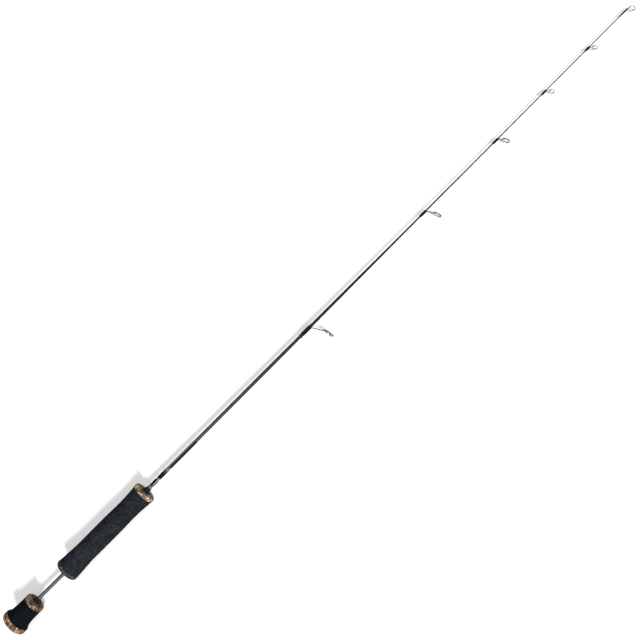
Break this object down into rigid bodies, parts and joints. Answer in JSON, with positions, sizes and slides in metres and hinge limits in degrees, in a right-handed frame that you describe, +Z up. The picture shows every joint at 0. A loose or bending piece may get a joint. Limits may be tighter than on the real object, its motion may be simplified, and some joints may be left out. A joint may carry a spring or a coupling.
{
  "type": "ice fishing rod",
  "caption": "Short one-piece rod for ice fishing: tapered solid blank, split foam grip with burl cork rings, fixed hook keeper, single-foot line guides and a ringed tip-top.",
  "frame": {"origin": "on the surface the rod lies on, below the middle of its bounding box", "axes": "+X along the rod from the butt towards the tip, +Z up, guides reaching out towards -Y. The rod's own axis slopes 0.62 degrees down towards the tip, and the guides are rolled 7.8 degrees below level, as the rod lies at rest"},
  "size_m": [0.71, 0.0336, 0.0224],
  "materials": {
    "blank": "glossy clear-coated dark grey carbon composite",
    "grip_foam": "near-black closed-cell EVA foam, fine blue-grey mottling, matt",
    "knob_foam": "near-black closed-cell EVA foam, smooth, matt",
    "burl_cork": "granulated burl cork, tan with dark and light chips, sanded",
    "check": "black moulded rubber",
    "black_thread": "black winding thread under glossy epoxy",
    "red_thread": "maroon winding thread under glossy epoxy",
    "clear_coat": "clear epoxy coat over the grey blank",
    "keeper_wire": "polished stainless wire",
    "guide_frame": "grey stainless strip, satin",
    "guide_insert": "polished steel ring"
  },
  "bodies": {
    "root": {"blank": "blank", "butt_cap_ring": "burl_cork", "knob_foam": "knob_foam", "knob_front_ring": "burl_cork", "knob_check": "check", "grip_rear_ring": "burl_cork", "grip_foam": "grip_foam", "grip_front_ring": "burl_cork", "grip_check": "check", "label_sleeve": "clear_coat", "hook_keeper": "keeper_wire", "keeper_rear_wrap": "clear_coat", "keeper_rear_trim": "red_thread", "keeper_centre_wrap": "black_thread", "keeper_front_wrap": "black_thread", "keeper_front_trim": "red_thread", "keeper_front_coat": "clear_coat", "guide_1_trim": "red_thread", "guide_1_frame": "guide_frame", "guide_1_insert": "guide_insert", "guide_1_wrap": "black_thread", "guide_2_frame": "guide_frame", "guide_2_insert": "guide_insert", "guide_2_wrap": "black_thread", "guide_3_frame": "guide_frame", "guide_3_insert": "guide_insert", "guide_3_wrap": "black_thread", "guide_4_frame": "guide_frame", "guide_4_insert": "guide_insert", "guide_4_wrap": "black_thread", "guide_5_frame": "guide_frame", "guide_5_insert": "guide_insert", "guide_5_wrap": "black_thread", "tip_top_frame": "guide_frame", "tip_top_insert": "guide_insert", "tip_top_wrap": "black_thread"}
  },
  "joints": []
}
